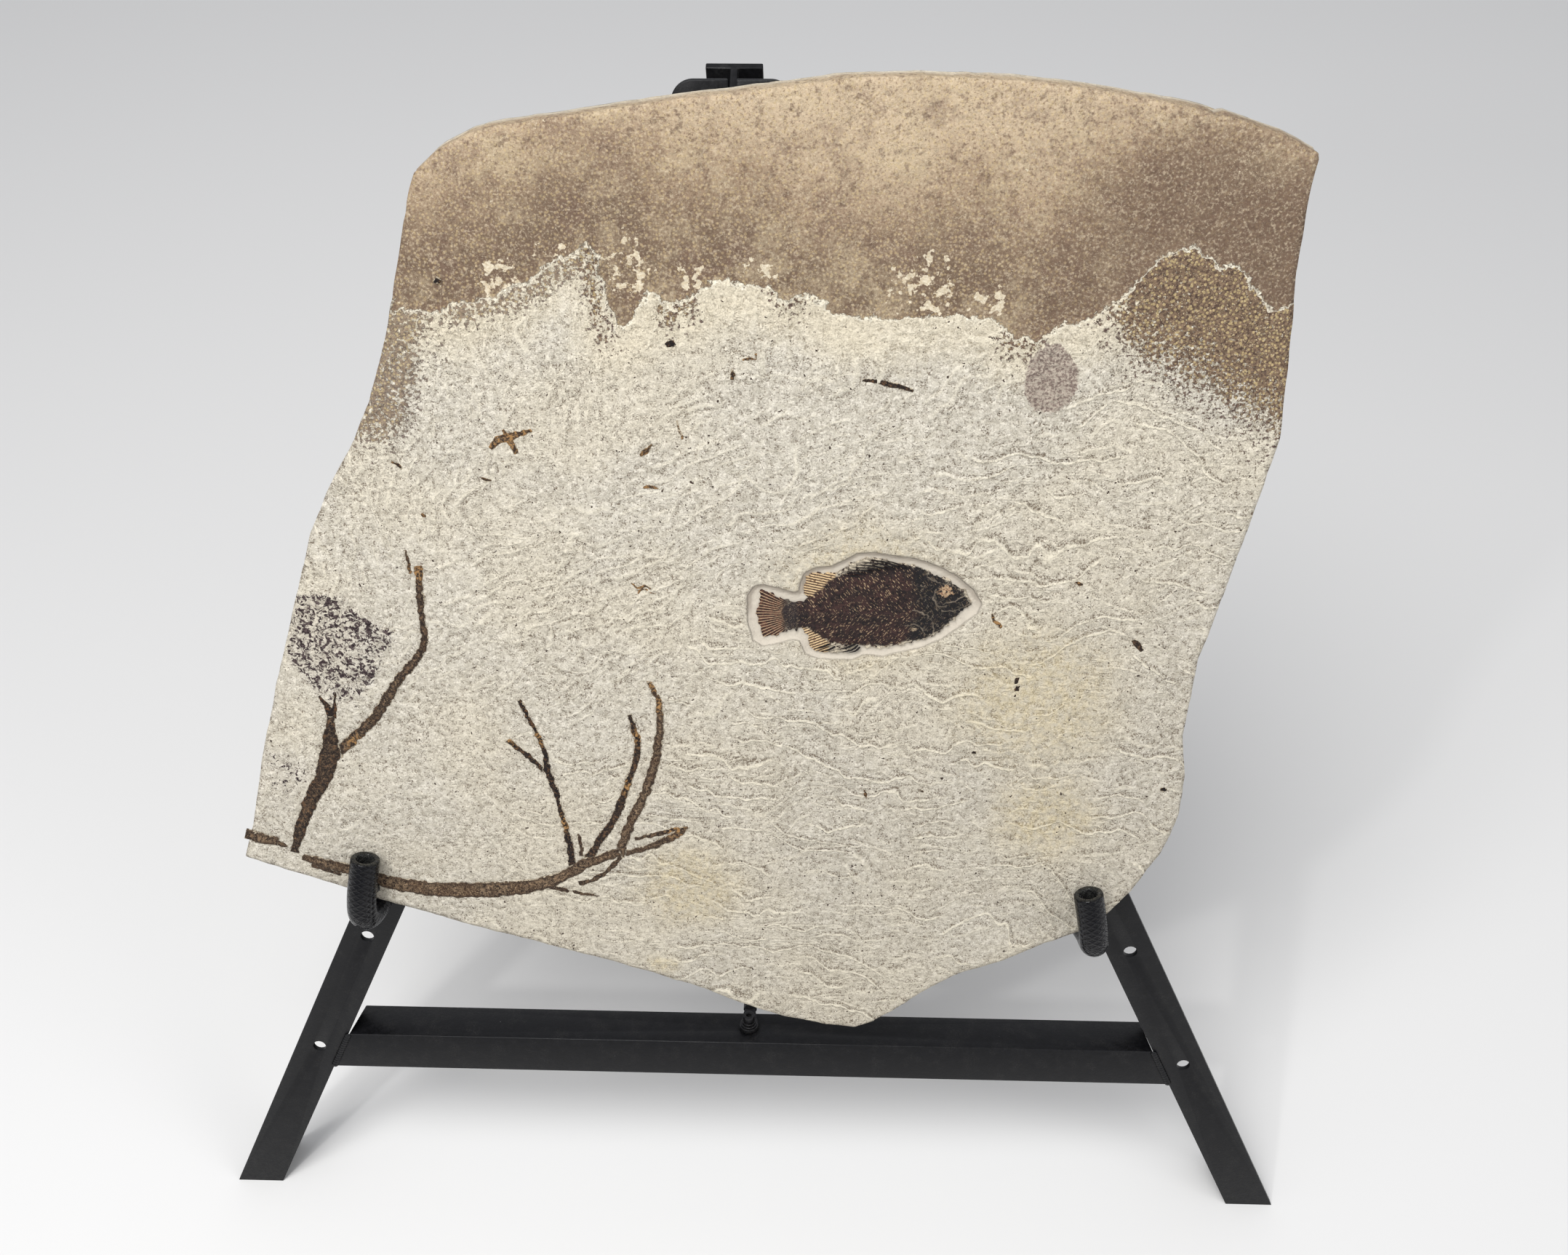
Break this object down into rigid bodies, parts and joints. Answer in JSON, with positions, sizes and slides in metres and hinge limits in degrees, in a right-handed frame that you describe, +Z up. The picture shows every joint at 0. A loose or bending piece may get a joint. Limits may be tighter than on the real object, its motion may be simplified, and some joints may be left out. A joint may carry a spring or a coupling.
{
  "type": "fossil fish slab on an easel",
  "caption": "Irregular limestone slab with a fossil fish and fossil twigs, leaning in the hose-covered hooks of a black steel A-frame easel.",
  "frame": {"origin": "middle of the footprint on the floor, under the easel", "axes": "+Z up, -Y is the side the slab faces, +X to the right as seen from the front"},
  "size_m": [0.6416, 0.3842, 0.6604],
  "materials": {
    "limestone": "matt cream limestone, finely ridged and specked, with a smoother brown upper bedding layer",
    "fossil_bone": "dark brown fossil bone and scales with pale dashes, slightly glossy",
    "fossil_wood": "matt brown carbonised twigs, mottled",
    "easel_paint": "satin black paint, slightly worn along the edges",
    "dark_steel": "blackened steel",
    "hose_rubber": "glossy black hose with a pale braid showing through"
  },
  "bodies": {
    "root": {"slab": "limestone", "fish": "fossil_bone", "left_twig_stem": "fossil_wood", "left_twig_branch": "fossil_wood", "broken_twig": "fossil_wood", "main_stem": "fossil_wood", "thin_twig": "fossil_wood", "thin_twig_fork": "fossil_wood", "inner_branch": "fossil_wood", "outer_branch": "fossil_wood", "side_branch": "fossil_wood", "left_leg": "easel_paint", "right_leg": "easel_paint", "crossbar": "easel_paint", "apex_plate": "easel_paint", "rear_leg": "easel_paint", "tie_rod": "dark_steel", "tie_washer": "dark_steel", "tie_spring_washer": "dark_steel", "tie_screw": "dark_steel", "tie_nut": "dark_steel", "rear_screw": "dark_steel", "rear_nut": "dark_steel", "left_hook": "dark_steel", "right_hook": "dark_steel", "left_hook_nut": "dark_steel", "left_hose": "hose_rubber", "right_hose": "hose_rubber"}
  },
  "joints": []
}
